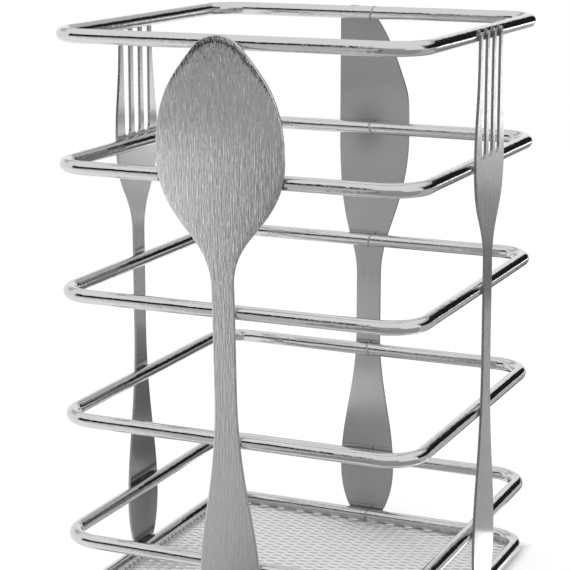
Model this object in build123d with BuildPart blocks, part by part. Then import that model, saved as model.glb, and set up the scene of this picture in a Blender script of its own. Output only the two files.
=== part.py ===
"""Cutlery caddy: square rings of bent wire over a mesh floor, held one above the other by a flat
steel spoon, knife and two forks that are welded to the outside of the rings, one on each side.

Millimetres, +Z up. The origin is the middle of the underside, on the surface that it stands on.
"""

import os
from math import cos, hypot, radians, sin

from build123d import *

# Wire rings
outer_side = 110.0  # across the outside of a ring
overall_height = 170.0
wire_diameter = 4.0
bend_radius = 10.0  # corner of a ring, at the middle of the wire
ring_count = 5  # rings above the base ring
base_gap = 20.6  # from the base ring up to the lowest of the other rings
butt_weld_length = 0.8  # weld between the two ends of a ring's wire

# Mesh floor
mesh_thickness = 1.0
mesh_inset = 0.5  # mesh edge, inside the outside of the rings
mesh_border = 4.0  # plain edge of the mesh, under the base ring
diamond_length = 13.0
diamond_height = 6.0
strand_width = 1.5

# What the four flat pieces share
sheet_thickness = 0.8
handle_width = 18.2
handle_round = 19.0  # from the end of a handle up to its widest place
taper_width = 12.0
taper_height = 44.0

# Spoon, on the front
spoon_neck = 6.7
spoon_offset = 1.9  # sideways, at the handle's end
spoon_lean = 1.1  # degrees from upright
bowl_width = 37.8
bowl_length = 67.0
bowl_widest_drop = 32.0  # below the tip
bowl_depth = 3.0
bowl_shoulder_width = 21.6
bowl_shoulder_drop = 51.0
bowl_crown_width = 29.8
bowl_crown_drop = 13.5
bowl_tip_radius = 9.7
bowl_tip_turn = 50.0  # degrees that the round tip turns through on each side
bowl_bend = 1.0  # how far the flat handle runs on under the bowl
rim_clearance = 0.1  # between the bowl's rim and the wires behind it

# Knife, on the back
knife_neck = 8.1
knife_offset = 1.35
blade_length = 86.0
blade_widest_drop = 40.0
spine_reach = 10.2  # from the handle's middle line to the back of the blade
spine_bend_drop = 30.0
spine_shoulder_reach = 7.1
spine_shoulder_drop = 71.0
spine_round = 4.0  # height of the rounded corner at the top of the spine
edge_reach = 13.1  # from the handle's middle line to the cutting edge
edge_shoulder_reach = 8.5
edge_shoulder_drop = 66.0
point_reach = 6.0  # top of the blade, towards the spine
nose_reach = 2.6  # cutting edge, just below the point
nose_drop = 4.7
curve_reach = 11.3  # cutting edge, where it turns in to the point
curve_drop = 23.3

# Forks, on the left and on the right
fork_neck = 6.4
right_fork_offset = 4.1  # sideways, at the handle's end
right_fork_lean = 1.4  # degrees from upright
fork_head_length = 66.0
fork_root_width = 25.0
fork_root_drop = 36.0
fork_shoulder_width = 20.4
fork_shoulder_drop = 49.0
fork_tip_width = 19.5
tine_tip_width = 1.6
tine_count = 4
slot_length = 36.0
slot_root_width = 3.6
tine_waist_width = 20.9  # halfway up the tines
tip_rounding = 0.6

# Weld fillets, above and below the line where a wire touches a sheet
weld_length = 4.0
weld_root = 0.7
weld_reach = 1.4

wire_radius = wire_diameter / 2
half_side = outer_side / 2 - wire_radius  # middle of the wire
face_out = outer_side / 2  # plane that touches the outside of the rings

base_ring_height = mesh_thickness + wire_radius
lowest_ring_height = base_ring_height + base_gap
top_ring_height = overall_height - wire_radius
ring_pitch = (top_ring_height - lowest_ring_height) / (ring_count - 1)
ring_heights = [top_ring_height - index * ring_pitch for index in range(ring_count)]
all_heights = ring_heights + [base_ring_height]

spoon_across = Vector(1, 0, 0).rotate(Axis.Y, -spoon_lean)
front = Plane((spoon_offset, -face_out, 0), x_dir=spoon_across, z_dir=(0, -1, 0))
back = Plane((-knife_offset, face_out, 0), x_dir=(-1, 0, 0), z_dir=(0, 1, 0))
left = Plane((-face_out, 0, 0), x_dir=(0, -1, 0), z_dir=(-1, 0, 0))
right_across = Vector(0, 1, 0).rotate(Axis.X, right_fork_lean)
right = Plane((face_out, right_fork_offset, 0), x_dir=right_across, z_dir=(1, 0, 0))

os.makedirs("parts", exist_ok=True)


def save(part, name):
    """Labels a finished piece and writes it to its own file."""
    part.label = name
    export_step(part, f"parts/{name}.step")


# Rings: one bent wire each, its two ends facing each other in the middle of the back
end_gap = butt_weld_length / 2
ring_route = [
    (end_gap, half_side),
    (half_side, half_side),
    (half_side, -half_side),
    (-half_side, -half_side),
    (-half_side, half_side),
    (-end_gap, half_side),
]
ring_names = [f"wire_ring_{index}" for index in range(1, ring_count + 1)] + ["base_ring"]

for ring_name, ring_height in zip(ring_names, all_heights):
    with BuildPart() as ring:
        with BuildLine(Plane.XY.offset(ring_height)):
            route = FilletPolyline(*ring_route, radius=bend_radius)
        with BuildSketch(Plane(route @ 0, z_dir=route % 0)):
            Circle(wire_radius)
        sweep()
    save(ring.part, ring_name)

with BuildPart() as butt_welds:
    for ring_height in all_heights:
        with BuildSketch(Plane((-end_gap, half_side, ring_height), z_dir=(1, 0, 0))):
            Circle(wire_radius)
        extrude(amount=butt_weld_length)
save(butt_welds.part, "butt_welds")


# Mesh floor: a flat sheet of staggered diamonds, with solid metal at the origin
mesh_side = outer_side - 2 * mesh_inset
mesh_corner = bend_radius + wire_radius - mesh_inset
diamond_share = 1 - strand_width * hypot(1 / diamond_length, 1 / diamond_height)
half_length = diamond_share * diamond_length / 2
half_height = diamond_share * diamond_height / 2
open_half = mesh_side / 2 - mesh_border


def even_count(pitch, half_size):
    """How many places, half a pitch either side of the middle, fit in the open part of the mesh."""
    return 2 * int((open_half - half_size) / pitch + 0.5)


def odd_count(pitch, half_size):
    """How many places, with one in the middle, fit in the open part of the mesh."""
    return 2 * int((open_half - half_size) / pitch) + 1


columns = even_count(diamond_length, half_length), odd_count(diamond_length, half_length)
rows = odd_count(diamond_height, half_height), even_count(diamond_height, half_height)
diamond = [(half_length, 0), (0, half_height), (-half_length, 0), (0, -half_height)]

with BuildPart() as mesh_floor:
    with BuildSketch():
        RectangleRounded(mesh_side, mesh_side, mesh_corner)
        for column_count, row_count in zip(columns, rows):
            with GridLocations(diamond_length, diamond_height, column_count, row_count):
                Polygon(*diamond, mode=Mode.SUBTRACT)
    extrude(amount=mesh_thickness)
save(mesh_floor.part, "mesh_floor")


def handle_edge(neck_width, head_length):
    """Right-hand edge of a handle, from the middle of its round end up to the foot of its head."""
    head_foot = overall_height - head_length
    neck_start = (taper_height + head_foot) / 2
    with BuildLine() as edge:
        EllipticalCenterArc((0, handle_round), handle_width / 2, handle_round, 270, arc_size=90)
        Spline(
            (handle_width / 2, handle_round),
            (taper_width / 2, taper_height),
            (neck_width / 2, neck_start),
            tangents=[(0, 1), (0, 1)],
        )
        Line((neck_width / 2, neck_start), (neck_width / 2, head_foot))
    return edge.line


# Spoon: a flat handle with a bowl that swells outwards
bowl_foot = (spoon_neck / 2, overall_height - bowl_length)
bowl_shoulder = (bowl_shoulder_width / 2, overall_height - bowl_shoulder_drop)
bowl_side = (bowl_width / 2, overall_height - bowl_widest_drop)
bowl_crown = (bowl_crown_width / 2, overall_height - bowl_crown_drop)
tip_across = sin(radians(bowl_tip_turn))
tip_up = cos(radians(bowl_tip_turn))
tip_centre = (0, overall_height - bowl_tip_radius)
tip_start = (bowl_tip_radius * tip_across, tip_centre[1] + bowl_tip_radius * tip_up)

with BuildSketch() as spoon_outline:
    with BuildLine():
        add(handle_edge(spoon_neck, bowl_length))
        Spline(bowl_foot, bowl_shoulder, bowl_side, tangents=[(0, 1), (0, 1)])
        Spline(bowl_side, bowl_crown, tip_start, tangents=[(0, 1), (-tip_up, tip_across)])
        CenterArc(tip_centre, bowl_tip_radius, 90 - bowl_tip_turn, bowl_tip_turn)
        mirror(about=Plane.YZ)
    make_face()

# The bowl's inner face curves across with one radius and lengthwise with another. Both arcs
# stand bowl_depth above the rim at the middle.
cross_radius = ((bowl_width / 2) ** 2 + bowl_depth**2) / (2 * bowl_depth)
length_radius = (bowl_widest_drop**2 + bowl_depth**2) / (2 * bowl_depth)
bowl_join = overall_height - 2 * bowl_widest_drop
bowl_section = Plane(
    front.from_local_coords((0, overall_height - bowl_widest_drop, 0)),
    x_dir=front.x_dir,
    z_dir=-front.y_dir,
)
bowl_crest = bowl_depth + rim_clearance
bowl_axis = Axis(bowl_section.from_local_coords((0, bowl_crest - length_radius, 0)), front.x_dir)
swell = bowl_crest + 2 * sheet_thickness

with BuildPart() as front_spoon:
    with BuildSketch(bowl_section):
        with Locations((0, bowl_crest - cross_radius)):
            Circle(cross_radius + sheet_thickness)
            Circle(cross_radius, mode=Mode.SUBTRACT)
        Rectangle(2 * bowl_width, 2 * swell, mode=Mode.INTERSECT)
    revolve(axis=bowl_axis)
    with BuildSketch(front.offset(-swell)):
        add(spoon_outline.sketch)
        with Locations((0, bowl_join)):
            Rectangle(2 * bowl_width, overall_height, align=(Align.CENTER, Align.MIN), mode=Mode.INTERSECT)
    extrude(amount=2 * swell, mode=Mode.INTERSECT)
    with BuildSketch(front):
        add(spoon_outline.sketch)
        with Locations((0, bowl_join + bowl_bend)):
            Rectangle(2 * bowl_width, overall_height, align=(Align.CENTER, Align.MAX), mode=Mode.INTERSECT)
    extrude(amount=sheet_thickness)
save(front_spoon.part, "front_spoon")


# Knife: a straight spine on one side and a rounded cutting edge on the other
blade_foot = overall_height - blade_length
spine_shoulder = (spine_shoulder_reach, overall_height - spine_shoulder_drop)
edge_shoulder = (-edge_shoulder_reach, overall_height - edge_shoulder_drop)
widest_height = overall_height - blade_widest_drop
blade_point = (point_reach, overall_height)
spine_top = (spine_reach, overall_height - spine_round)
spine_foot = (spine_reach, overall_height - spine_bend_drop)

with BuildPart() as back_knife:
    with BuildSketch(back):
        with BuildLine():
            add(handle_edge(knife_neck, blade_length))
            mirror(about=Plane.YZ)
            Spline(
                (knife_neck / 2, blade_foot),
                spine_shoulder,
                spine_foot,
                tangents=[(0, 1), (0, 1)],
            )
            Line(spine_foot, spine_top)
            Spline(spine_top, blade_point, tangents=[(0, 1), (-1, 0)])
            Spline(
                blade_point,
                (-nose_reach, overall_height - nose_drop),
                (-curve_reach, overall_height - curve_drop),
                (-edge_reach, widest_height),
                tangents=[(-1, 0), (0, -1)],
            )
            Spline(
                (-edge_reach, widest_height),
                edge_shoulder,
                (-knife_neck / 2, blade_foot),
                tangents=[(0, -1), (0, -1)],
            )
        make_face()
    extrude(amount=sheet_thickness)
save(back_knife.part, "back_knife")


# Forks: tines with straight slots between them, which widen towards the tips
tine_pitch = (fork_tip_width - tine_tip_width) / (tine_count - 1)
slot_mouth_width = tine_pitch - tine_tip_width
slot_foot = overall_height - slot_length + slot_root_width / 2
fork_foot = (fork_neck / 2, overall_height - fork_head_length)
fork_shoulder = (fork_shoulder_width / 2, overall_height - fork_shoulder_drop)
fork_root = (fork_root_width / 2, overall_height - fork_root_drop)
fork_tip = (fork_tip_width / 2, overall_height)
fork_waist = (tine_waist_width / 2, (fork_root[1] + fork_tip[1]) / 2)
slot = [
    (-slot_root_width / 2, 0),
    (slot_root_width / 2, 0),
    (slot_mouth_width / 2, overall_height - slot_foot),
    (-slot_mouth_width / 2, overall_height - slot_foot),
]

with BuildSketch() as fork_outline:
    with BuildLine():
        add(handle_edge(fork_neck, fork_head_length))
        Spline(fork_foot, fork_shoulder, fork_root, tangents=[(0, 1), (0, 1)])
        Spline(fork_root, fork_waist, fork_tip, tangents=[(0, 1), (0, 1)])
        Line(fork_tip, (0, overall_height))
        mirror(about=Plane.YZ)
    make_face()
    with Locations((0, slot_foot)):
        with GridLocations(tine_pitch, 1, tine_count - 1, 1):
            Polygon(*slot, align=None, mode=Mode.SUBTRACT)
            Circle(slot_root_width / 2, mode=Mode.SUBTRACT)
    fillet(fork_outline.vertices().group_by(Axis.Y)[-1], min(tip_rounding, 0.4 * tine_tip_width))

with BuildPart() as left_fork:
    with BuildSketch(left):
        add(fork_outline.sketch)
    extrude(amount=sheet_thickness)
save(left_fork.part, "left_fork")

with BuildPart() as right_fork:
    with BuildSketch(right):
        add(fork_outline.sketch)
    extrude(amount=sheet_thickness)
save(right_fork.part, "right_fork")


def weld_fillets(touch, into_sheet, along_wire, length):
    """Two fillets of weld metal, one each side of the line where a wire touches a sheet."""
    seat = Plane(touch, x_dir=into_sheet, z_dir=along_wire)
    with BuildPart() as fillets:
        with BuildSketch(seat.offset(-length / 2)):
            with Locations((-wire_radius / 2, 0)):
                Rectangle(wire_radius, 2 * weld_reach)
                Rectangle(wire_radius, 2 * weld_root, mode=Mode.SUBTRACT)
            with Locations((-wire_radius, 0)):
                Circle(wire_radius, mode=Mode.SUBTRACT)
        extrude(amount=length)
    return fillets.part


def side_welds(side, places):
    """Weld fillets for one flat piece; places are (sideways, ring height, length)."""
    along_wire = Vector(0, 0, 1).cross(side.z_dir)
    welds = []
    for sideways, height, length in places:
        on_side = side.from_local_coords((sideways, height / side.y_dir.Z, 0))
        touch = Vector(on_side.X, on_side.Y, height)
        welds.append(weld_fillets(touch, side.z_dir, along_wire, length))
    return welds


middle_places = [(0, height, weld_length) for height in all_heights]
rim_reach = bowl_width / 2 - weld_length / 2
spoon_places = middle_places[:1] + middle_places[2:]
spoon_places += [(sign * rim_reach, all_heights[1], weld_length) for sign in (-1, 1)]
tine_places = [
    ((index - (tine_count - 1) / 2) * tine_pitch, top_ring_height, tine_tip_width)
    for index in range(tine_count)
]
fork_places = tine_places + middle_places[1:]

weld_groups = {
    "spoon_welds": side_welds(front, spoon_places),
    "knife_welds": side_welds(back, middle_places),
    "left_fork_welds": side_welds(left, fork_places),
    "right_fork_welds": side_welds(right, fork_places),
}

# Mesh welds: two places along each side of the base ring
mesh_weld_spacing = outer_side / 4
mesh_weld_seats = []
for step in (-1, 1):
    for sign in (-1, 1):
        shift = step * mesh_weld_spacing
        mesh_weld_seats.append(((shift, sign * half_side, mesh_thickness), (1, 0, 0)))
        mesh_weld_seats.append(((sign * half_side, shift, mesh_thickness), (0, 1, 0)))
weld_groups["mesh_welds"] = [
    weld_fillets(touch, (0, 0, -1), along_wire, weld_length) for touch, along_wire in mesh_weld_seats
]

for group_name, welds in weld_groups.items():
    with BuildPart() as weld_group:
        add(welds)
    save(weld_group.part, group_name)
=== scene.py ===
"""Cutlery caddy, dressed: chromed wire rings, an expanded-metal floor and flat steel cutlery.

Metres, +Z up. The spoon is at -Y, the knife at +Y and a fork on each side, at -X and at +X. Rings,
heights and outlines are read from the frame, so the pieces follow it.
"""

import math

import bmesh
import bpy
import numpy as np
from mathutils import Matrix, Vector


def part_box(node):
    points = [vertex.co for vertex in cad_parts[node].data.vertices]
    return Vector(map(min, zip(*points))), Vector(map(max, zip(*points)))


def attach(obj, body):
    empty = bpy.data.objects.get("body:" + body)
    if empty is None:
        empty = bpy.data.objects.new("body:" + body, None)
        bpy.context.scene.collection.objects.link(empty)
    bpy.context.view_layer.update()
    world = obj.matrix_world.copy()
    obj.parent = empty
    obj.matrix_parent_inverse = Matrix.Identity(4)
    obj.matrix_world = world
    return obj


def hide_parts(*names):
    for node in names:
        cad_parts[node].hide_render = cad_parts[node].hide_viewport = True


bl_info = {
    "name": "Cutlery caddy",
    "version": (1, 0, 0),
    "blender": (4, 5, 0),
    "location": "View3D > Sidebar > Caddy",
    "description": "Dresses a wire cutlery caddy with chrome, brushed steel and an expanded-metal floor",
    "category": "Object",
}

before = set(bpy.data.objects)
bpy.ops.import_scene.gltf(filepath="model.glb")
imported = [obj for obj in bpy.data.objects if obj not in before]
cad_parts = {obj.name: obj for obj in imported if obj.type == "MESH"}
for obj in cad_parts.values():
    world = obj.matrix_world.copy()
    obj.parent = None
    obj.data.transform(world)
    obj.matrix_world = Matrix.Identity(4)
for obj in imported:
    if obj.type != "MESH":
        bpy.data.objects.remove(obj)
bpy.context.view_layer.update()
BODY = "root"
RINGS = ["wire_ring_1", "wire_ring_2", "wire_ring_3", "wire_ring_4", "wire_ring_5", "base_ring"]
SHEET_WELDS = ["spoon_welds", "knife_welds", "left_fork_welds", "right_fork_welds"]
FLOOR_WELDS = ["mesh_welds"]


def ring_size(node):
    """Middle height, half of the side at the wire's middle, and wire radius of a ring of the frame."""
    low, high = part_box(node)
    radius = (high.z - low.z) / 2
    return (low.z + high.z) / 2, high.x - radius, radius


HALF_SIDE, WIRE_RADIUS = ring_size(RINGS[0])[1:]

# Meshes
MERGE_DISTANCE = 1e-7  # points of a piece that lie closer than this are one
END_MARGIN = 0.00002  # pieces end this far inside the frame's own ends
FACING = 0.5  # cosine beyond which a face counts as looking out of the caddy or into it
LEVEL_RISE = 1e-9  # an edge that rises by no more than this is level
EDGE_TURNS = 4  # steps of the quarter circle at an edge of a sheet
EDGE_SHARE = 0.4  # largest edge radius, as a share of the sheet's width there
CLOSE_COLUMN = 0.00004  # a column this near to each edge keeps the face flat up to it
CLOSE_SHARE = 0.1  # the same on a narrow strip, as a share of its width
SPOON_GRID = (240, 61)  # heights, and places across a face
KNIFE_GRID = (180, 33)
OUTLINE_PARTS = 40  # stretches of the spoon's outline, taken one at a time
ARC_SHARE = 0.9  # share of its long radius over which the bowl's arc is followed
HEAD_HEIGHTS = 130  # of a fork's handle and head
TINE_HEIGHTS = 70
PER_TINE = 9  # places across the face of a tine
TIP_SHARE = 0.46  # radius of a tine's tip, as a share of its width
LEAN_HEIGHTS = np.array([0.03, 0.10])  # where a fork's middle line is read

# Marks of the welder, and painted shade on the sheets by the rings, from the top ring down to the base
# ring
BEAD_SLANTS = (0.35, -0.15, 0.25, -0.3, 0.2, 0.1)
# Dark marks on the knife at each ring: partly weld tint, partly painted shade
KNIFE_TINT_AND_PAINTED_SHADE = (0.10, 0.50, 0.12, 0.25, 0.15, 0.30)
# Painted shade on the forks at each ring
FORK_PAINTED_SHADE = (0.60, 0.0, 0.10, 0.40, 0.60, 0.60)

# Studio
FLOOR_REACH = 3.0  # from the caddy to each edge of the floor
# Painted shadow: the paper is this grey under the caddy
PAINTED_SHADOW_UNDER = 0.57  # grey under the caddy
PAPER_OUTSIDE = 0.95
NEAR_SHINE = (0.1, 0.65)  # share that shines white, under the caddy and beside it
FAR_SHINE = (0.2, 0.9)  # distances between which the floor turns fully white
CARD_HEIGHT = 0.0004  # of the cards that lie on the floor
LAMP_PLACE = (-0.3, -0.2, 1.3)
SENSOR_WIDTH = 36.0  # millimetres

# Cards that stand round the caddy: name, brightness, distance, azimuths and elevations in degrees
STANDING_CARDS = (
    ("front_flag", 0.01, 1.2, (-60, -19), (5.5, 28)),
    ("front_post", 0.01, 1.19, (-19, -1), (6, 13)),
    ("front_bend", 0.01, 1.19, (-1, 46), (7, 13)),
    ("front_low", 0.5, 1.21, (-60, 50), (-5, 5.6)),
    ("back_flag", 0.015, 1.2, (100, 177), (-2, 26)),
    ("back_grey", 0.6, 1.3, (95, 265), (23, 36)),
)

# Curved cards on the floor in front: name, brightness, radii and azimuths in degrees
RING_CARDS = (
    ("front_dark", 0.2, (0.2, 1.2), (-12, -2)),
    ("front_floor_near", 0.38, (0.085, 0.2), (-12, -2)),
    ("front_floor_right", 0.38, (0.085, 1.2), (-2, 90)),
    ("front_floor", 0.63, (0.085, 1.2), (-28, -12)),
    ("front_floor_left", 0.92, (0.085, 1.2), (-36, -28)),
)

# Straight cards on the floor, on the right and behind: name, brightness and corners
FLAT_CARDS = (
    ("right_glow", 2.7, [(0.056, 0.0), (0.064, 0.0), (0.075, 0.060), (0.064, 0.060)]),
    (
        "right_near", 0.56,
        [(0.064, 0.0), (1.0, 0.0), (1.0, 0.16), (0.090, 0.16), (0.066, 0.062), (0.075, 0.060)],
    ),
    ("right_mid", 0.60, [(0.090, 0.16), (1.0, 0.16), (1.0, 0.37), (0.139, 0.37)]),
    ("right_dark", 0.26, [(-0.1, 0.37), (1.0, 0.37), (1.0, 0.52), (-0.1, 0.52)]),
    ("right_far", 0.43, [(-0.1, 0.52), (1.0, 0.52), (1.0, 0.70), (-0.1, 0.70)]),
    ("right_end", 0.76, [(-0.1, 0.70), (1.0, 0.70), (1.0, 0.95), (-0.1, 0.95)]),
    ("right_tines", 2.6, [(0.20, 0.95), (0.41, 0.95), (0.79, 1.85), (0.45, 1.85)]),
    ("back_shade", 0.165, [(-0.05, 0.075), (0.066, 0.075), (0.130, 0.37), (0.0, 0.37)]),
)


class WireSettings(bpy.types.PropertyGroup):
    """Sizes and finish of the bent wire."""

    bend_radius: bpy.props.FloatProperty(
        name="Bend radius", description="Corner of a ring, at the middle of the wire",
        default=0.010, unit="LENGTH",
    )
    sides: bpy.props.IntProperty(
        name="Sides", description="Faces around the wire", default=48, min=8,
    )
    bead_length: bpy.props.FloatProperty(
        name="Bead length", description="Butt weld along the wire", default=0.0007, unit="LENGTH",
    )
    bead_proud: bpy.props.FloatProperty(
        name="Bead proud", description="Butt weld above the wire's surface",
        default=0.00012, unit="LENGTH",
    )
    plate: bpy.props.FloatVectorProperty(
        name="Plate", description="Colour of the chrome plate", subtype="COLOR", size=4,
        default=(0.66, 0.66, 0.665, 1.0),
    )


class MeshSettings(bpy.types.PropertyGroup):
    """Sizes and finish of the expanded-metal floor."""

    diamond_length: bpy.props.FloatProperty(
        name="Diamond length", description="One opening and one bond, along X",
        default=0.0065, unit="LENGTH",
    )
    strand_pitch: bpy.props.FloatProperty(
        name="Strand pitch", description="From one strand to the next, along Y",
        default=0.0013, unit="LENGTH",
    )
    bond_spacing: bpy.props.FloatProperty(
        name="Bond spacing", description="Between the middles of two strands where they meet",
        default=0.0003, unit="LENGTH",
    )
    strand_width: bpy.props.FloatProperty(
        name="Strand width", description="Wide side of a strand", default=0.00054, unit="LENGTH",
    )
    strand_thickness: bpy.props.FloatProperty(
        name="Strand thickness", description="Narrow side of a strand", default=0.00017, unit="LENGTH",
    )
    tilt: bpy.props.FloatProperty(
        name="Tilt", description="Lean of the strands towards the front",
        default=math.radians(26), subtype="ANGLE",
    )
    edge_margin: bpy.props.FloatProperty(
        name="Edge margin", description="Floor's edge inside the frame's floor",
        default=0.0006, unit="LENGTH",
    )
    colour: bpy.props.FloatVectorProperty(
        name="Expanded steel", description="Colour of the floor", subtype="COLOR", size=4,
        default=(0.95, 0.95, 0.95, 1.0),
    )


class SheetSettings(bpy.types.PropertyGroup):
    """Sizes and finish of the flat cutlery."""

    thickness: bpy.props.FloatProperty(
        name="Thickness", description="Sheet of the cutlery", default=0.0008, unit="LENGTH",
    )
    edge_radius: bpy.props.FloatProperty(
        name="Edge radius", description="Rounding of the knife's and the forks' edges",
        default=0.0001, unit="LENGTH",
    )
    spoon_edge: bpy.props.FloatProperty(
        name="Spoon's edge radius", description="Rounding of the spoon's edges",
        default=0.00036, unit="LENGTH",
    )
    bowl_depth: bpy.props.FloatProperty(
        name="Bowl depth", description="Swell of the spoon's bowl", default=0.0013, unit="LENGTH",
    )
    rim_roll: bpy.props.FloatProperty(
        name="Rim roll", description="Drop of the bowl's face at its rim", default=0.00020, unit="LENGTH",
    )
    rim_width: bpy.props.FloatProperty(
        name="Rim width", description="Width of the rounding along the bowl's rim",
        default=0.0021, unit="LENGTH",
    )
    bowl_width: bpy.props.FloatProperty(
        name="Bowl width", description="Widest place of the bowl", default=0.0378, unit="LENGTH",
    )
    bowl_half_length: bpy.props.FloatProperty(
        name="Bowl half length", description="Widest place of the bowl to its tip",
        default=0.032, unit="LENGTH",
    )
    rim_gap: bpy.props.FloatProperty(
        name="Rim gap", description="Bowl's rim off the wires' plane", default=0.0001, unit="LENGTH",
    )
    bowl_fade: bpy.props.FloatProperty(
        name="Bowl fade", description="How softly the bowl runs into the handle",
        default=0.0004, unit="LENGTH",
    )
    slot_length: bpy.props.FloatProperty(
        name="Slot length", description="Slots of a fork, from their roots to the tips",
        default=0.036, unit="LENGTH",
    )
    slot_root: bpy.props.FloatProperty(
        name="Slot root", description="Width of a slot at its round root", default=0.0036, unit="LENGTH",
    )
    tine_tip: bpy.props.FloatProperty(
        name="Tine tip", description="Width of a tine at its tip", default=0.0016, unit="LENGTH",
    )
    tip_drop: bpy.props.FloatProperty(
        name="Tip drop", description="Tips of the tines, below the top of the frame's forks",
        default=0.0008, unit="LENGTH",
    )
    tine_pitch: bpy.props.FloatProperty(
        name="Tine pitch", description="From one slot to the next", default=0.0179 / 3, unit="LENGTH",
    )
    brushed: bpy.props.FloatVectorProperty(
        name="Brushed steel", description="Colour of the spoon and of the knife's outer face",
        subtype="COLOR", size=4, default=(0.58, 0.58, 0.58, 1.0),
    )
    satin: bpy.props.FloatVectorProperty(
        name="Satin steel", description="Colour of the spoon's and knife's inner faces, edges and welds",
        subtype="COLOR", size=4, default=(0.48, 0.48, 0.485, 1.0),
    )
    # Painted light: the forks' inner faces are lighter than their steel would be
    fork_inside_painted_light: bpy.props.FloatVectorProperty(
        name="Inside of the forks", description="Colour of the forks' inner faces",
        subtype="COLOR", size=4, default=(0.80, 0.80, 0.805, 1.0),
    )
    # Painted shade: the forks' outer faces are darker than their steel would be
    fork_outside_painted_shade: bpy.props.FloatVectorProperty(
        name="Outside of the forks", description="Colour of the forks' outer faces",
        subtype="COLOR", size=4, default=(0.44, 0.44, 0.445, 1.0),
    )


class StageSettings(bpy.types.PropertyGroup):
    """Camera and studio."""

    azimuth: bpy.props.FloatProperty(
        name="Azimuth", description="Turn of the camera from the front towards the right",
        default=math.radians(23.86), subtype="ANGLE",
    )
    elevation: bpy.props.FloatProperty(
        name="Elevation", description="Camera above the horizon",
        default=math.radians(12.857), subtype="ANGLE",
    )
    distance: bpy.props.FloatProperty(
        name="Distance", description="Camera to the point that it looks at",
        default=0.546924, unit="LENGTH",
    )
    look_height: bpy.props.FloatProperty(
        name="Look height", description="Height of the point that the camera looks at",
        default=0.092056, unit="LENGTH",
    )
    look_side: bpy.props.FloatProperty(
        name="Look side", description="That point, right of the caddy's middle as the camera sees it",
        default=-0.005911, unit="LENGTH",
    )
    lens: bpy.props.FloatProperty(
        name="Lens", description="Focal length in millimetres on a 36 mm sensor", default=117.06,
    )
    lamp_power: bpy.props.FloatProperty(
        name="Lamp power", description="Soft box above the caddy", default=6.0, unit="POWER",
    )
    lamp_size: bpy.props.FloatProperty(
        name="Lamp size", description="Side of the soft box", default=1.0, unit="LENGTH",
    )


def add_node(tree, kind, inputs=None, **attributes):
    """A shader node with attributes set, and its input sockets set or linked by name or number."""
    node = tree.nodes.new(kind)
    for name, value in attributes.items():
        setattr(node, name, value)
    for name, value in (inputs or {}).items():
        socket = node.inputs[name]
        if isinstance(value, bpy.types.NodeSocket):
            tree.links.new(value, socket)
        else:
            socket.default_value = value
    return node


def stretched_noise(tree, place, scale, detail=2.0):
    """Noise with its own number of waves per metre along each axis."""
    mapping = add_node(tree, "ShaderNodeMapping", {"Vector": place, "Scale": scale})
    noise = add_node(
        tree, "ShaderNodeTexNoise", {"Vector": mapping.outputs["Vector"], "Scale": 1.0, "Detail": detail}
    )
    return noise.outputs["Fac"]


def spread(tree, value, low, high, from_low=0.3, from_high=0.7):
    """A value brought from one range into another. Noise mostly lies between 0.3 and 0.7."""
    node = add_node(
        tree, "ShaderNodeMapRange",
        {"Value": value, "From Min": from_low, "From Max": from_high, "To Min": low, "To Max": high},
    )
    return node.outputs["Result"]


def product(tree, one, other):
    """One value times another."""
    return add_node(tree, "ShaderNodeMath", {0: one, 1: other}, operation="MULTIPLY").outputs[0]


def larger(tree, one, other):
    """The larger of two values."""
    return add_node(tree, "ShaderNodeMath", {0: one, 1: other}, operation="MAXIMUM").outputs[0]


def shade(tree, value, first, second):
    """Colour from a first one, at a value of 0, to a second one, at 1. Either may be a socket."""
    node = add_node(tree, "ShaderNodeMix", {"Factor": value, "A": first, "B": second}, data_type="RGBA")
    return node.outputs["Result"]


def bumped(tree, height, strength, distance, under=None):
    """Normal of a surface with a bump whose depth is in metres, on top of another bump if given."""
    inputs = {"Height": height, "Strength": strength, "Distance": distance}
    if under is not None:
        inputs["Normal"] = under
    return add_node(tree, "ShaderNodeBump", inputs).outputs["Normal"]


def dimmed(colour, share):
    """A colour times a share, with its alpha kept."""
    return tuple(share * channel for channel in colour[:3]) + (1.0,)


def grey(level):
    """A grey, where 0 is black and 1 is white."""
    return (level, level, level, 1.0)


def metal(name):
    """A metal with no finish yet: the material, its node tree and its Object coordinates."""
    material = bpy.data.materials.new(name)
    material.use_nodes = True
    tree = material.node_tree
    tree.nodes["Principled BSDF"].inputs["Metallic"].default_value = 1.0
    return material, tree, add_node(tree, "ShaderNodeTexCoord").outputs["Object"]


def dress(tree, colour, roughness, normal):
    """Links a metal's colour, roughness and normal to its shader."""
    inputs = tree.nodes["Principled BSDF"].inputs
    tree.links.new(colour, inputs["Base Color"])
    tree.links.new(roughness, inputs["Roughness"])
    tree.links.new(normal, inputs["Normal"])


def chrome_plate(colour):
    """Bright plate over drawn wire: faint clouds, fine pits and a slow waviness."""
    material, tree, place = metal("chrome_plate")
    clouds = stretched_noise(tree, place, (90, 90, 90))
    pits = stretched_noise(tree, place, (900, 900, 900), 3.0)
    waves = stretched_noise(tree, place, (140, 140, 140))
    plate = shade(tree, clouds, dimmed(colour, 0.93), tuple(colour))
    slow = bumped(tree, waves, 0.4, 0.0004)
    dress(tree, plate, spread(tree, pits, 0.06, 0.16), bumped(tree, pits, 0.5, 0.00008, slow))
    return material


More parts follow.
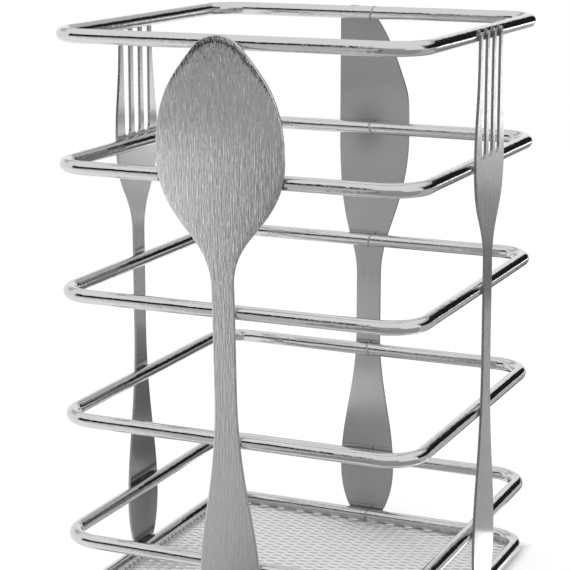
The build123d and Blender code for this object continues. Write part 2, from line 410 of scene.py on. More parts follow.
def brushed_steel(name, colour, depth):
    """Steel brushed along its length: a fine long grain, coarse scratches and short bright flecks, which
    are painted glints.

    The scratches and the painted glints are strong in the upper half and fade down the handle.
    """
    material, tree, place = metal(name)
    height = add_node(tree, "ShaderNodeSeparateXYZ", {"Vector": place}).outputs["Z"]
    wear = spread(tree, height, 0.25, 1.0, from_low=0.055, from_high=0.10)
    grain = stretched_noise(tree, place, (7000, 7000, 90))
    scratches = stretched_noise(tree, place, (3000, 3000, 200))
    painted_glints = stretched_noise(tree, place, (4800, 4800, 380), 1.0)
    painted_glints = spread(tree, painted_glints, 0.0, 1.0, from_low=0.60, from_high=0.70)
    dark_share = product(tree, spread(tree, scratches, 1.0, 0.0), wear)
    steel = shade(tree, dark_share, dimmed(colour, 1.06), dimmed(colour, 0.84))
    # Painted glints: short flecks lifted to one and a half times the steel's colour
    steel = shade(tree, product(tree, painted_glints, wear), steel, dimmed(colour, 1.5))
    lines = bumped(tree, grain, depth, 0.00003)
    cuts = bumped(tree, scratches, product(tree, wear, depth), 0.00014, lines)
    dress(tree, steel, spread(tree, scratches, 0.10, 0.17), cuts)
    return material


def satin_steel(name, colour, gloss=(0.14, 0.20)):
    """Smooth rolled steel with a faint grain along its length, darkened where a point attribute holds
    weld tint and painted shade by the rings.

    Gloss is the least and the most roughness.
    """
    material, tree, place = metal(name)
    grain = stretched_noise(tree, place, (1800, 1800, 40), 3.0)
    clouds = stretched_noise(tree, place, (60, 60, 30))
    tint_and_shade_mark = add_node(tree, "ShaderNodeAttribute", attribute_name="weld_tint_and_painted_shade").outputs["Fac"]
    steel = shade(tree, clouds, dimmed(colour, 0.9), tuple(colour))
    # Weld tint and painted shade darken the steel towards a fifth of its colour
    steel = shade(tree, tint_and_shade_mark, steel, dimmed(colour, 0.2))
    dress(tree, steel, spread(tree, grain, *gloss), bumped(tree, grain, 0.08, 0.00003))
    return material


def cut_edge(colour):
    """Edge of the sheet as the press cut it: darker and uneven."""
    material, tree, place = metal("cut_edge")
    tears = stretched_noise(tree, place, (1500, 1500, 1500), 3.0)
    steel = shade(tree, tears, dimmed(colour, 0.5), dimmed(colour, 0.9))
    dress(tree, steel, spread(tree, tears, 0.2, 0.35), bumped(tree, tears, 0.4, 0.00005))
    return material


def expanded_steel(colour):
    """Bright plated strands with a fine uneven skin."""
    material, tree, place = metal("expanded_steel")
    skin = stretched_noise(tree, place, (1200, 1200, 1200))
    steel = shade(tree, skin, dimmed(colour, 0.95), dimmed(colour, 1.04))
    dress(tree, steel, spread(tree, skin, 0.40, 0.5), bumped(tree, skin, 0.2, 0.00005))
    return material


def weld_metal(name, colour):
    """Plated weld metal: darker, uneven and less bright than what it joins."""
    material, tree, place = metal(name)
    lumps = stretched_noise(tree, place, (1500, 1500, 1500), 3.0)
    steel = shade(tree, lumps, dimmed(colour, 0.45), dimmed(colour, 0.8))
    dress(tree, steel, spread(tree, lumps, 0.25, 0.45), bumped(tree, lumps, 0.6, 0.0001))
    return material


def grid_faces(rows, columns, close_rows=True, close_columns=True):
    """Quads of a grid of vertices that is numbered row by row and may join up in either direction."""
    row = np.arange(rows if close_rows else rows - 1)
    column = np.arange(columns if close_columns else columns - 1)
    r, c = (a.ravel() for a in np.meshgrid(row, column, indexing="ij"))
    r_next, c_next = (r + 1) % rows, (c + 1) % columns
    return np.stack(
        [r * columns + c, r_next * columns + c, r_next * columns + c_next, r * columns + c_next], axis=1
    )


def finish_by_facing(mesh):
    """First finish for faces that look out of the caddy, second for those that look in, else third."""
    places, normals = (np.empty(3 * len(mesh.polygons)) for _ in range(2))
    mesh.polygons.foreach_get("center", places)
    mesh.polygons.foreach_get("normal", normals)
    places, normals = places.reshape(-1, 3), normals.reshape(-1, 3)
    axis = np.abs(places[:, :2]).max(axis=0).argmax()
    facing = normals[:, axis] * np.sign(places[:, axis])
    finish = np.select([facing > FACING, facing < -FACING], [0, 1], 2)
    mesh.polygons.foreach_set("material_index", finish)


def make_piece(name, shells, finishes, replaced, smooth=True):
    """Mesh object at the origin that rides on the caddy and stands for nodes of the frame.

    Each shell is vertices and quads. Where shells share points they are merged, and the faces are
    turned outwards. Three finishes are for the outer faces, the inner faces and the edges.
    """
    starts = np.cumsum([0] + [len(vertices) for vertices, quads in shells[:-1]])
    vertices = np.vstack([vertices for vertices, quads in shells])
    faces = np.vstack([shell[1] + start for start, shell in zip(starts, shells)])
    mesh = bpy.data.meshes.new(name)
    mesh.from_pydata(vertices.tolist(), [], faces.tolist())
    shape = bmesh.new()
    shape.from_mesh(mesh)
    bmesh.ops.remove_doubles(shape, verts=shape.verts, dist=MERGE_DISTANCE)
    bmesh.ops.recalc_face_normals(shape, faces=shape.faces)
    shape.to_mesh(mesh)
    shape.free()
    mesh.polygons.foreach_set("use_smooth", np.full(len(mesh.polygons), smooth))
    for finish in finishes:
        mesh.materials.append(finish)
    mesh.update()
    if len(finishes) == 3:
        finish_by_facing(mesh)
    piece = bpy.data.objects.new(name, mesh)
    bpy.context.scene.collection.objects.link(piece)
    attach(piece, BODY)
    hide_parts(*replaced)
    return piece


def square_route(half_side, bend_radius, per_bend=24, per_side=12):
    """Middle line of a ring, anticlockwise, with the direction that points out of it at each point.

    Each corner is a quarter circle of the bend radius about (half_side - bend_radius) on both axes,
    and each side is a straight run from one quarter circle to the next.
    """
    centre = half_side - bend_radius
    turn = np.linspace(0, np.pi / 2, per_bend)
    run = np.linspace(-centre, centre, per_side + 2)[1:-1]
    side = np.stack([np.full(per_side, half_side), run], axis=1)
    side_out = np.tile([1.0, 0.0], (per_side, 1))
    bend_out = np.stack([np.cos(turn), np.sin(turn)], axis=1)
    bend = centre + bend_radius * bend_out
    points, outward = np.vstack([side, bend]), np.vstack([side_out, bend_out])
    quarter = np.array([[0.0, 1.0], [-1.0, 0.0]])
    turns = [np.linalg.matrix_power(quarter, k) for k in range(4)]
    return np.vstack([points @ q for q in turns]), np.vstack([outward @ q for q in turns])


def wire_ring(half_side, bend_radius, height, wire_radius, sides):
    """A circle of the wire's radius carried along the ring's middle line.

    Point = middle + wire_radius * (cos(a) * outward + sin(a) * up), for a once round the wire.
    """
    middle, outward = square_route(half_side, bend_radius)
    angle = np.linspace(0, 2 * np.pi, sides, endpoint=False)
    flat = middle[:, None, :] + wire_radius * np.cos(angle)[None, :, None] * outward[:, None, :]
    up = height + wire_radius * np.sin(angle)
    up = np.broadcast_to(up[None, :, None], flat.shape[:2] + (1,))
    vertices = np.concatenate([flat, up], axis=2).reshape(-1, 3)
    return vertices, grid_faces(len(middle), sides)


class CADDY_OT_wire_rings(bpy.types.Operator):
    """Makes the square rings of chromed wire"""

    bl_idname = "caddy.wire_rings"
    bl_label = "Wire rings"

    def execute(self, context):
        settings = context.scene.caddy_wire
        plate = chrome_plate(settings.plate)
        for node in RINGS:
            height, half_side, radius = ring_size(node)
            ring = wire_ring(half_side, settings.bend_radius, height, radius, settings.sides)
            make_piece(f"{node}_chrome", [ring], [plate], [node])
        return {"FINISHED"}


def butt_bead(height, half_side, wire_radius, length, proud, slant, sides=40, around=12):
    """A slim slanted bead round the wire, in the middle of the back.

    An ellipse, as long as the bead and twice as high as it stands proud, is carried once round the
    wire. Its middle shifts along the wire by slant times the height above the wire's middle.
    """
    angle = np.linspace(0, 2 * np.pi, sides, endpoint=False)[:, None]
    turn = np.linspace(0, 2 * np.pi, around, endpoint=False)[None, :]
    radial = wire_radius + proud * np.sin(turn)
    along = length / 2 * np.cos(turn) + slant * wire_radius * np.sin(angle)
    vertices = np.stack(
        [along, half_side + radial * np.cos(angle), height + radial * np.sin(angle)], axis=2
    ).reshape(-1, 3)
    return vertices, grid_faces(sides, around)


class CADDY_OT_butt_welds(bpy.types.Operator):
    """Makes the weld bead that closes each ring at the back"""

    bl_idname = "caddy.butt_welds"
    bl_label = "Butt welds"

    def execute(self, context):
        settings = context.scene.caddy_wire
        beads = [
            butt_bead(*ring_size(node), settings.bead_length, settings.bead_proud, slant)
            for node, slant in zip(RINGS, BEAD_SLANTS)
        ]
        finish = weld_metal("butt_weld_metal", settings.plate)
        make_piece("butt_weld_beads", beads, [finish], ["butt_welds"])
        return {"FINISHED"}


def strand_wave(along, wave, steepness=2.2):
    """Zigzag of an expanded strand: flat at the bonds and steep between them, from -1 to 1.

    tanh(steepness * sin(2 pi * along / wave)) / tanh(steepness).
    """
    return np.tanh(steepness * np.sin(2 * np.pi * along / wave)) / np.tanh(steepness)


def expanded_metal(half_size, corner, top, settings, per_wave=10):
    """Strands of expanded metal that lie side by side and meet at their bonds, up to a top height.

    Strand i has its middle line at y_i + (-1)^i * swing * zigzag(x). Its rectangular section leans
    by the tilt, and it ends on a square with rounded corners.
    """
    count = math.ceil(2 * half_size / settings.strand_pitch)
    index = np.arange(count)
    middle = (index - (count - 1) / 2) * settings.strand_pitch
    into_corner = np.clip(np.abs(middle) - (half_size - corner), 0, corner)
    reach = half_size - corner + np.sqrt(corner**2 - into_corner**2)
    points = int(2 * half_size / settings.diamond_length * per_wave)
    along = np.linspace(-1, 1, points)[None, :] * reach[:, None]
    swing = (settings.strand_pitch - settings.bond_spacing) / 2
    side = np.where(index % 2 == 0, 1, -1)[:, None] * swing * strand_wave(along, settings.diamond_length)
    side = np.clip(middle[:, None] + side, -half_size, half_size)
    across = settings.strand_width / 2 * np.array([1, 1, -1, -1])
    through = settings.strand_thickness / 2 * np.array([-1, 1, 1, -1])
    lean_y = across * math.cos(settings.tilt) - through * math.sin(settings.tilt)
    lean_z = across * math.sin(settings.tilt) + through * math.cos(settings.tilt)
    shape = (count, points, 4)
    vertices = np.stack(
        [
            np.broadcast_to(along[:, :, None], shape),
            side[:, :, None] + lean_y,
            np.broadcast_to(top - lean_z.max() + lean_z, shape),
        ],
        axis=3,
    )
    last = 4 * points - 1
    ends = np.array([[0, 1, 2, 3], [last, last - 1, last - 2, last - 3]])
    one = np.vstack([grid_faces(points, 4, close_rows=False), ends])
    quads = (one[None, :, :] + (index * points * 4)[:, None, None]).reshape(-1, 4)
    return vertices.reshape(-1, 3), quads


class CADDY_OT_mesh_floor(bpy.types.Operator):
    """Makes the expanded-metal floor"""

    bl_idname = "caddy.mesh_floor"
    bl_label = "Expanded-metal floor"

    def execute(self, context):
        settings = context.scene.caddy_mesh
        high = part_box("mesh_floor")[1]
        corner = context.scene.caddy_wire.bend_radius
        strands = expanded_metal(high.x - settings.edge_margin, corner, high.z - END_MARGIN, settings)
        finish = expanded_steel(settings.colour)
        make_piece("expanded_floor", [strands], [finish], ["mesh_floor"], smooth=False)
        return {"FINISHED"}


def outline_at(node, axis, heights):
    """Lowest and highest place of a node of the frame along an axis, at each of some heights.

    Each edge of the node's mesh is cut by a level plane at each height.
    """
    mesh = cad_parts[node].data
    points = np.empty(3 * len(mesh.vertices))
    mesh.vertices.foreach_get("co", points)
    ends = np.empty(2 * len(mesh.edges), dtype=np.int32)
    mesh.edges.foreach_get("vertices", ends)
    ends = points.reshape(-1, 3)[ends.reshape(-1, 2)]
    start, run = ends[:, 0], ends[:, 1] - ends[:, 0]
    rising = np.abs(run[:, 2]) > LEVEL_RISE
    start, run = start[rising], run[rising]
    share = (heights[:, None] - start[None, :, 2]) / run[None, :, 2]
    cut = (share >= 0) & (share <= 1)
    place = start[None, :, axis] + share * run[None, :, axis]
    return np.where(cut, place, np.inf).min(axis=1), np.where(cut, place, -np.inf).max(axis=1)


def eased(low, high, count):
    """Heights from low to high that crowd towards both ends."""
    return low + (high - low) * (1 - np.cos(np.linspace(0, np.pi, count))) / 2


def across_flat(left, right, columns):
    """Places across a flat face at each height: even, with one more close to each edge."""
    close = np.minimum(CLOSE_COLUMN, CLOSE_SHARE * (right - left))[:, None]
    left, right = left[:, None], right[:, None]
    even = left + close + (right - left - 2 * close) * np.linspace(0, 1, columns - 2)[None, :]
    return np.hstack([left, even, right])


def sheet_loops(flat, heights, left_edge, right_edge, thickness):
    """Closed loops of a strip of sheet, one at each height, as (sideways, height, outwards).

    A loop runs along the outer face, round the right edge, back along the inner face and round the
    left edge. flat holds the places across both faces. Each edge is two quarter circles of the
    edge's own radius, with the rest of the thickness between them.
    """
    quarter = np.linspace(0, np.pi / 2, EDGE_TURNS + 1)
    turn = np.concatenate([np.pi / 2 - quarter[1:], -quarter[:-1]])[None, :]
    outer = (np.arange(2 * EDGE_TURNS) < EDGE_TURNS)[None, :]
    right, left = right_edge[:, None], left_edge[:, None]
    right_side = flat[:, -1:] + right * np.cos(turn)
    right_out = np.where(outer, thickness - right, right) + right * np.sin(turn)
    left_side = flat[:, :1] - left * np.cos(turn)
    left_out = np.where(outer, thickness - left, left) + left * np.sin(turn)
    sideways = np.hstack([flat, right_side, flat[:, ::-1], left_side[:, ::-1]])
    outwards = np.hstack([
        np.full(flat.shape, thickness), right_out, np.zeros(flat.shape), left_out[:, ::-1],
    ])
    up = np.broadcast_to(heights[:, None], sideways.shape)
    return np.stack([sideways, up, outwards], axis=2)


def loops_shell(points, close_foot=True, close_top=True):
    """Shell of placed loops that are joined row by row, with the foot and the top filled if asked.

    An end is a strip of quads between the outer half of its loop and the inner half.
    """
    rows, columns = points.shape[:2]
    half = np.arange(columns // 2)
    outer = (half - EDGE_TURNS) % columns
    inner = (columns - EDGE_TURNS - 1 - half) % columns
    end = np.stack([outer[:-1], outer[1:], inner[1:], inner[:-1]], axis=1)
    quads = [grid_faces(rows, columns, close_rows=False)]
    if close_foot:
        quads.append(end)
    if close_top:
        quads.append(end + (rows - 1) * columns)
    return points.reshape(-1, 3), np.vstack(quads)


def on_side(points, side):
    """Places a sheet's (sideways, height, outwards) on the front, back, left or right of the caddy.

    Sideways is +X on the front and the back, and +Y on the left and the right.
    """
    sideways, up, out = points[..., 0], points[..., 1], points[..., 2] + HALF_SIDE + WIRE_RADIUS
    places = {
        "front": (sideways, -out, up),
        "back": (sideways, out, up),
        "left": (-out, sideways, up),
        "right": (out, sideways, up),
    }
    return np.stack(places[side], axis=-1)


def whole_sheet(node, axis, thickness, edge_radius, grid):
    """Loops of a whole flat piece of the frame, from its outline, on a grid of heights and places."""
    rows, columns = grid
    low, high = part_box(node)
    heights = eased(low.z + END_MARGIN, high.z - END_MARGIN, rows)
    left, right = outline_at(node, axis, heights)
    edge = np.minimum(edge_radius, EDGE_SHARE * (right - left))
    flat = across_flat(left + edge, right - edge, columns)
    return sheet_loops(flat, heights, edge, edge, thickness)


def bowl_swell(sideways, up, middle, settings):
    """How far the spoon's bowl stands out.

    One arc across is carried along another lengthwise, so the swell is
    crest - long + sqrt((long - cross + sqrt(cross^2 - sideways^2))^2 - along^2), with the two radii
    from the bowl's half width, half length and depth. It fades into the flat handle by
    (swell + sqrt(swell^2 + fade^2)) / 2.
    """
    depth = settings.bowl_depth
    cross = ((settings.bowl_width / 2) ** 2 + depth**2) / (2 * depth)
    long = (settings.bowl_half_length**2 + depth**2) / (2 * depth)
    arc = long - cross + np.sqrt(cross**2 - sideways**2)
    along = np.clip(up - middle, -ARC_SHARE * long, ARC_SHARE * long)
    crest = depth + settings.rim_gap + settings.rim_roll
    swell = crest - long + np.sqrt(arc**2 - along**2)
    fade = settings.bowl_fade
    return (swell + np.sqrt(swell**2 + fade**2)) / 2 - fade**2 / (4 * depth)


def rim_drop(loops, settings):
    """Drop of the bowl's face towards its rim: roll * (1 - distance to the outline / width)^2."""
    sideways, up = loops[..., 0], loops[..., 1]
    left = np.stack([sideways.min(axis=1), up[:, 0]], axis=1)
    right = np.stack([sideways.max(axis=1), up[:, 0]], axis=1)
    distance = np.full(sideways.shape, np.inf)
    for stretch in np.array_split(np.concatenate([left, right]), OUTLINE_PARTS):
        gap = np.hypot(sideways[..., None] - stretch[:, 0], up[..., None] - stretch[:, 1])
        distance = np.minimum(distance, gap.min(axis=2))
    return settings.rim_roll * np.clip(1 - distance / settings.rim_width, 0, 1) ** 2


def paint_weld_tint_and_shade(piece, axis, strengths, spread_side, spread_up, shift=0.0):
    """Soft dark marks on a sheet, one at each ring: weld tint and painted shade.

    Strength * exp(-((place - shift) / spread_side)^2 / 2 - ((z - ring) / spread_up)^2 / 2), added up
    over the rings, where place is along the given axis.
    """
    mesh = piece.data
    points = np.empty(3 * len(mesh.vertices))
    mesh.vertices.foreach_get("co", points)
    points = points.reshape(-1, 3)
    rings = np.array([ring_size(node)[0] for node in RINGS])
    side = ((points[:, axis, None] - shift) / spread_side) ** 2
    up = ((points[:, 2:] - rings[None, :]) / spread_up) ** 2
    tint_and_shade = (np.array(strengths) * np.exp(-(side + up) / 2)).sum(axis=1)
    mesh.attributes.new("weld_tint_and_painted_shade", "FLOAT", "POINT").data.foreach_set("value", tint_and_shade.astype(np.float32))


class CADDY_OT_spoon(bpy.types.Operator):
    """Makes the brushed spoon on the front"""

    bl_idname = "caddy.spoon"
    bl_label = "Spoon"

    def execute(self, context):
        settings = context.scene.caddy_sheet
        loops = whole_sheet("front_spoon", 0, settings.thickness, settings.spoon_edge, SPOON_GRID)
        sideways, up = loops[..., 0], loops[..., 1]
        axis = (sideways.max(axis=1) + sideways.min(axis=1))[:, None] / 2
        half_length = settings.bowl_half_length
        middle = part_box("front_spoon")[1].z - half_length
        swell = bowl_swell(sideways - axis, up, middle, settings)
        # The rolled rim grows from nothing over the lowest quarter of the bowl
        in_bowl = np.clip((up - middle + half_length) / (half_length / 2), 0, 1)
        loops[..., 2] += np.maximum(swell - in_bowl * rim_drop(loops, settings), 0)
        shell = loops_shell(on_side(loops, "front"))
        brushed = brushed_steel("brushed_spoon", settings.brushed, 1.0)
        finishes = [brushed, satin_steel("spoon_inside", settings.satin), brushed]
        make_piece("spoon_sheet", [shell], finishes, ["front_spoon"])
        return {"FINISHED"}


class CADDY_OT_knife(bpy.types.Operator):
    """Makes the knife on the back, satin on its inner face"""

    bl_idname = "caddy.knife"
    bl_label = "Knife"

    def execute(self, context):
        settings = context.scene.caddy_sheet
        loops = whole_sheet("back_knife", 0, settings.thickness, settings.edge_radius, KNIFE_GRID)
        shell = loops_shell(on_side(loops, "back"))
        finishes = [
            brushed_steel("brushed_knife", settings.brushed, 1.0),
            satin_steel("knife_inside", settings.satin),
            cut_edge(settings.satin),
        ]
        knife = make_piece("knife_sheet", [shell], finishes, ["back_knife"])
        # Weld tint and painted shade on the knife by the rings
        paint_weld_tint_and_shade(knife, 0, KNIFE_TINT_AND_PAINTED_SHADE, spread_side=0.004, spread_up=0.005, shift=-0.002)
        return {"FINISHED"}


def slot_half_width(rise, settings):
    """Half of a fork's slot at a height above its root: a half circle, then an even widening."""
    root = settings.slot_root / 2
    mouth = (settings.tine_pitch - settings.tine_tip) / 2
    half_circle = np.sqrt(np.maximum(root**2 - (root - rise) ** 2, 0))
    widening = root + (mouth - root) * (rise - root) / (settings.slot_length - root)
    return np.where(rise < root, half_circle, widening)


def fork_head(settings):
    """Loops of an upright fork's handle and head, up to the roots of its slots.

    The columns end where the tines' columns start, so the strips meet without a seam.
    """
    low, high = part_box("left_fork")
    slot_start = high.z - settings.slot_length
    rise = np.linspace(0, np.pi / 2, HEAD_HEIGHTS)
    heights = slot_start - (slot_start - low.z - END_MARGIN) * np.cos(rise)
    left, right = outline_at("left_fork", 1, heights)
    half = (right - left) / 2
    edge = np.minimum(settings.edge_radius, EDGE_SHARE * (right - left))
    reach = half[-1] - edge[-1]
    stops = np.array([-reach, -settings.tine_pitch, 0.0, settings.tine_pitch, reach])
    spans = across_flat(stops[:-1], stops[1:], PER_TINE)
    share = np.concatenate([spans[0], spans[1:, 1:].ravel()]) / reach
    flat = share[None, :] * (half - edge)[:, None]
    return sheet_loops(flat, heights, edge, edge, settings.thickness)


def fork_tines(settings):
    """Loops of each tine of an upright fork, from the roots of the slots up to its round tip.

    A tine lies between two slots, or between a slot and the fork's outline. Its tip is drawn in by
    radius - sqrt(radius^2 - rise^2).
    """
    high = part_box("left_fork")[1]
    slot_start = high.z - settings.slot_length
    top = high.z - settings.tip_drop
    heights = eased(slot_start, top - END_MARGIN, TINE_HEIGHTS)
    tip_radius = TIP_SHARE * settings.tine_tip
    tip_start = top - tip_radius
    left, right = outline_at("left_fork", 1, np.minimum(heights, tip_start))
    inset = tip_radius - np.sqrt(tip_radius**2 - np.maximum(heights - tip_start, 0) ** 2)
    slot = slot_half_width(heights - slot_start, settings)
    slot_middles = settings.tine_pitch * np.array([[-1], [0], [1]])
    left_sides = np.vstack([left, slot_middles + slot]) + inset
    right_sides = np.vstack([slot_middles - slot, right]) - inset
    edge = np.minimum(settings.edge_radius, EDGE_SHARE * (right_sides - left_sides))
    slot_edge = np.minimum(edge, slot)
    left_edges = np.vstack([edge[:1], slot_edge[1:]])
    right_edges = np.vstack([slot_edge[:-1], edge[-1:]])
    tines = []
    for left, right, left_edge, right_edge in zip(left_sides, right_sides, left_edges, right_edges):
        flat = across_flat(left + left_edge, right - right_edge, PER_TINE)
        tines.append(sheet_loops(flat, heights, left_edge, right_edge, settings.thickness))
    return tines


def leaning(loops, node):
    """Upright loops, shifted and leaned as a node of the frame is.

    The node's middle line is read at two heights. Sideways and up turn together by its slope.
    """
    low, high = outline_at(node, 1, LEAN_HEIGHTS)
    foot, top = (low + high) / 2
    slope = (top - foot) / (LEAN_HEIGHTS[1] - LEAN_HEIGHTS[0])
    length = math.hypot(1, slope)
    sideways, up = loops[..., 0], loops[..., 1]
    placed = loops.copy()
    placed[..., 0] = foot - LEAN_HEIGHTS[0] * slope + (sideways + slope * up) / length
    placed[..., 1] = (up - slope * sideways) / length
    return placed


class CADDY_OT_forks(bpy.types.Operator):
    """Makes the forks on the left and the right, satin on their inner faces"""

    bl_idname = "caddy.forks"
    bl_label = "Forks"

    def execute(self, context):
        settings = context.scene.caddy_sheet
        head = fork_head(settings)
        tines = fork_tines(settings)
        finishes = [
            # The outer faces carry painted shade and the inner faces painted light
            brushed_steel("brushed_forks", settings.fork_outside_painted_shade, 0.4),
            satin_steel("fork_inside_painted_light", settings.fork_inside_painted_light, gloss=(0.20, 0.27)),
            cut_edge(settings.satin),
        ]
        for side in ("left", "right"):
            node = f"{side}_fork"
            shells = [loops_shell(on_side(leaning(head, node), side), close_top=False)]
            for tine in tines:
                shells.append(loops_shell(on_side(leaning(tine, node), side), close_foot=False))
            fork = make_piece(f"{node}_sheet", shells, finishes, [node])
            # Painted shade on the forks by the rings
            paint_weld_tint_and_shade(fork, 1, FORK_PAINTED_SHADE, spread_side=0.015, spread_up=0.014)
        return {"FINISHED"}


class CADDY_OT_welds(bpy.types.Operator):
    """Finishes the welds between the sheets, the floor and the rings"""

    bl_idname = "caddy.welds"
    bl_label = "Welds"

    def execute(self, context):
        sheet_finish = weld_metal("sheet_weld_metal", context.scene.caddy_sheet.satin)
        floor_finish = weld_metal("floor_weld_metal", context.scene.caddy_mesh.colour)
        for node in SHEET_WELDS + FLOOR_WELDS:
            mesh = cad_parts[node].data
            mesh.materials.clear()
            mesh.materials.append(floor_finish if node in FLOOR_WELDS else sheet_finish)
        return {"FINISHED"}


def studio_white():
    """World that is plain white all round: to the camera, in reflections and as soft light."""
    world = bpy.data.worlds.new("studio_white")
    world.use_nodes = True
    tree = world.node_tree
    tree.nodes.clear()
    white = add_node(tree, "ShaderNodeBackground", {"Color": grey(1.0), "Strength": 1.0})
    add_node(tree, "ShaderNodeOutputWorld", {"Surface": white.outputs["Background"]})
    return world


def bare_material(name):
    """A material with no nodes yet, and its node tree."""
    material = bpy.data.materials.new(name)
    material.use_nodes = True
    tree = material.node_tree
    tree.nodes.clear()
    return material, tree


def pale_floor():
    """Pale floor that shines white to the camera and in reflections, least so under the caddy, where its
    paper carries a painted shadow.
    """
    material, tree = bare_material("pale_floor")
    path = add_node(tree, "ShaderNodeLightPath").outputs
    seen = larger(tree, path["Is Camera Ray"], path["Is Glossy Ray"])
    seen = larger(tree, seen, path["Is Transmission Ray"])
    place = add_node(tree, "ShaderNodeTexCoord").outputs["Object"]
    place = add_node(tree, "ShaderNodeVectorMath", {0: place}, operation="ABSOLUTE").outputs["Vector"]
    place = add_node(tree, "ShaderNodeSeparateXYZ", {"Vector": place}).outputs
    distance = larger(tree, place["X"], place["Y"])
    # 0 under the caddy and 1 just beyond its base ring: the mask of the painted shadow and of the white
    # share
    edge = spread(tree, distance, 0.0, 1.0, HALF_SIDE, HALF_SIDE + 2 * WIRE_RADIUS)
    near = spread(tree, edge, *NEAR_SHINE, 0.0, 1.0)
    far = spread(tree, distance, 0.0, 1.0, *FAR_SHINE)
    share = product(tree, seen, larger(tree, near, far))
    # Painted shadow: the paper is grey under the caddy and pale beyond its wires
    paper = shade(tree, edge, grey(PAINTED_SHADOW_UNDER), grey(PAPER_OUTSIDE))
    paper = add_node(tree, "ShaderNodeBsdfDiffuse", {"Color": paper})
    white = add_node(tree, "ShaderNodeEmission", {"Color": grey(1.0), "Strength": 1.0})
    mix = add_node(
        tree, "ShaderNodeMixShader",
        {"Fac": share, 1: paper.outputs["BSDF"], 2: white.outputs["Emission"]},
    )
    add_node(tree, "ShaderNodeOutputMaterial", {"Surface": mix.outputs["Shader"]})
    return material


def card_finish(name, level):
    """Card that glows at one brightness, where 1 is white: light and shade painted into reflections."""
    material, tree = bare_material(name)
    glow = add_node(tree, "ShaderNodeEmission", {"Color": grey(level), "Strength": 1.0})
    add_node(tree, "ShaderNodeOutputMaterial", {"Surface": glow.outputs["Emission"]})
    return material


def stage_mesh(name, vertices, faces, material):
    """Mesh object that belongs to the stage."""
    mesh = bpy.data.meshes.new(name)
    mesh.from_pydata(np.asarray(vertices).tolist(), [], np.asarray(faces).tolist())
    mesh.materials.append(material)
    thing = bpy.data.objects.new(name, mesh)
    bpy.context.scene.collection.objects.link(thing)
    return thing


def reflection_card(name, level, vertices, faces):
    """A studio card that shows in reflections and nowhere else."""
    card = stage_mesh(name, vertices, faces, card_finish(name, level))
    card.visible_camera = False
    card.visible_diffuse = False
    card.visible_transmission = False
    card.visible_shadow = False
    card.visible_volume_scatter = False


def unit_arc(azimuths, columns):
    """Points of a circle of radius 1 between two azimuths in degrees, from 0 at -Y to 90 at +X."""
    azimuth = np.radians(np.linspace(*azimuths, columns))
    return np.stack([np.sin(azimuth), -np.cos(azimuth), np.zeros(columns)], axis=1)


def standing_card(name, level, radius, azimuths, elevations, height=0.1, columns=49):
    """Upright card on a circle round the caddy, with elevations seen from a height on its axis."""
    arc = radius * unit_arc(azimuths, columns)
    edges = height + radius * np.tan(np.radians(elevations))
    vertices = np.vstack([arc + (0.0, 0.0, edge) for edge in edges])
    reflection_card(name, level, vertices, grid_faces(2, columns, False, False))


def ring_card(name, level, radii, azimuths, columns=33):
    """Card that lies on the floor between two circles round the caddy and two azimuths."""
    arc = unit_arc(azimuths, columns)
    vertices = np.vstack([radius * arc for radius in radii]) + (0.0, 0.0, CARD_HEIGHT)
    reflection_card(name, level, vertices, grid_faces(2, columns, False, False))


def flat_card(name, level, corners):
    """Card that lies on the floor, from its corners."""
    vertices = [(x, y, CARD_HEIGHT) for x, y in corners]
    reflection_card(name, level, vertices, [list(range(len(vertices)))])


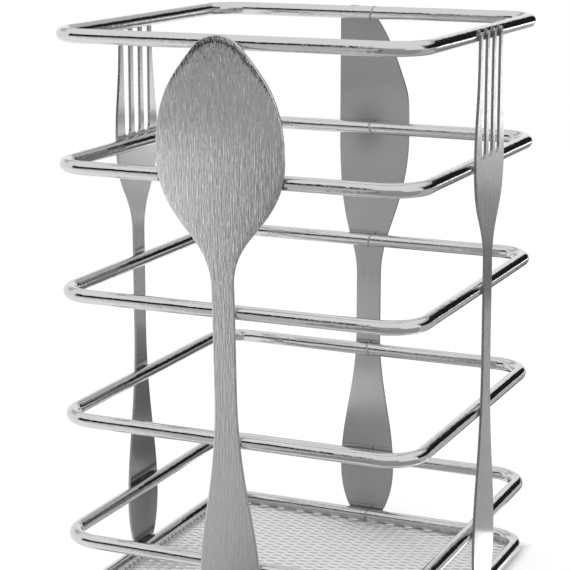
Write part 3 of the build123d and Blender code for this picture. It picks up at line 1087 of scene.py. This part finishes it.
class CADDY_OT_stage(bpy.types.Operator):
    """Sets the floor, the light, the studio cards and the camera"""

    bl_idname = "caddy.stage"
    bl_label = "Stage"

    def execute(self, context):
        scene = context.scene
        settings = scene.caddy_stage
        scene.view_settings.view_transform = "Standard"
        scene.world = studio_white()
        corners = FLOOR_REACH * np.array([(-1, -1, 0), (1, -1, 0), (1, 1, 0), (-1, 1, 0)])
        stage_mesh("pale_floor", corners, [[0, 1, 2, 3]], pale_floor())
        for card in STANDING_CARDS:
            standing_card(*card)
        for card in RING_CARDS:
            ring_card(*card)
        for card in FLAT_CARDS:
            flat_card(*card)
        self.hang_lamp(scene, settings)
        self.place_camera(scene, settings)
        return {"FINISHED"}

    def hang_lamp(self, scene, settings):
        """Square soft box above the caddy, which reflections don't show."""
        lamp = bpy.data.objects.new("soft_box", bpy.data.lights.new("soft_box", "AREA"))
        lamp.data.size = settings.lamp_size
        lamp.data.energy = settings.lamp_power
        lamp.location = LAMP_PLACE
        lamp.visible_glossy = False
        scene.collection.objects.link(lamp)

    def place_camera(self, scene, settings):
        """Camera on a sphere round the point that it looks at."""
        azimuth, elevation = settings.azimuth, settings.elevation
        right = np.array([math.cos(azimuth), math.sin(azimuth), 0.0])
        level_back = np.array([math.sin(azimuth), -math.cos(azimuth), 0.0])
        back = math.cos(elevation) * level_back + (0.0, 0.0, math.sin(elevation))
        target = np.array([0.0, 0.0, settings.look_height]) + settings.look_side * right
        camera = bpy.data.objects.new("camera", bpy.data.cameras.new("camera"))
        camera.data.lens = settings.lens
        camera.data.sensor_width = SENSOR_WIDTH
        camera.location = target + settings.distance * back
        camera.rotation_euler = (math.pi / 2 - elevation, 0.0, azimuth)
        scene.collection.objects.link(camera)
        scene.camera = camera


class CADDY_PT_panel(bpy.types.Panel):
    """Lists the caddy's settings and pieces"""

    bl_idname = "CADDY_PT_panel"
    bl_label = "Cutlery caddy"
    bl_space_type = "VIEW_3D"
    bl_region_type = "UI"
    bl_category = "Caddy"

    def draw(self, context):
        layout = self.layout
        for group in GROUPS:
            settings = getattr(context.scene, group)
            box = layout.box()
            for name in settings.__annotations__:
                box.prop(settings, name)
        for operator in OPERATORS:
            layout.operator(operator.bl_idname)


OPERATORS = (
    CADDY_OT_wire_rings,
    CADDY_OT_butt_welds,
    CADDY_OT_mesh_floor,
    CADDY_OT_spoon,
    CADDY_OT_knife,
    CADDY_OT_forks,
    CADDY_OT_welds,
    CADDY_OT_stage,
)
GROUPS = {
    "caddy_wire": WireSettings,
    "caddy_mesh": MeshSettings,
    "caddy_sheet": SheetSettings,
    "caddy_stage": StageSettings,
}


def register():
    """Registers the classes and hangs the settings on the scene."""
    for kind in (*GROUPS.values(), *OPERATORS, CADDY_PT_panel):
        bpy.utils.register_class(kind)
    for name, kind in GROUPS.items():
        setattr(bpy.types.Scene, name, bpy.props.PointerProperty(type=kind))


def unregister():
    """Takes the settings and the classes away again."""
    for name in GROUPS:
        delattr(bpy.types.Scene, name)
    for kind in reversed((*GROUPS.values(), *OPERATORS, CADDY_PT_panel)):
        bpy.utils.unregister_class(kind)


def main():
    """Makes every piece and the stage."""
    register()
    bpy.ops.caddy.wire_rings()
    bpy.ops.caddy.butt_welds()
    bpy.ops.caddy.mesh_floor()
    bpy.ops.caddy.spoon()
    bpy.ops.caddy.knife()
    bpy.ops.caddy.forks()
    bpy.ops.caddy.welds()
    bpy.ops.caddy.stage()


if __name__ == "__main__":
    main()
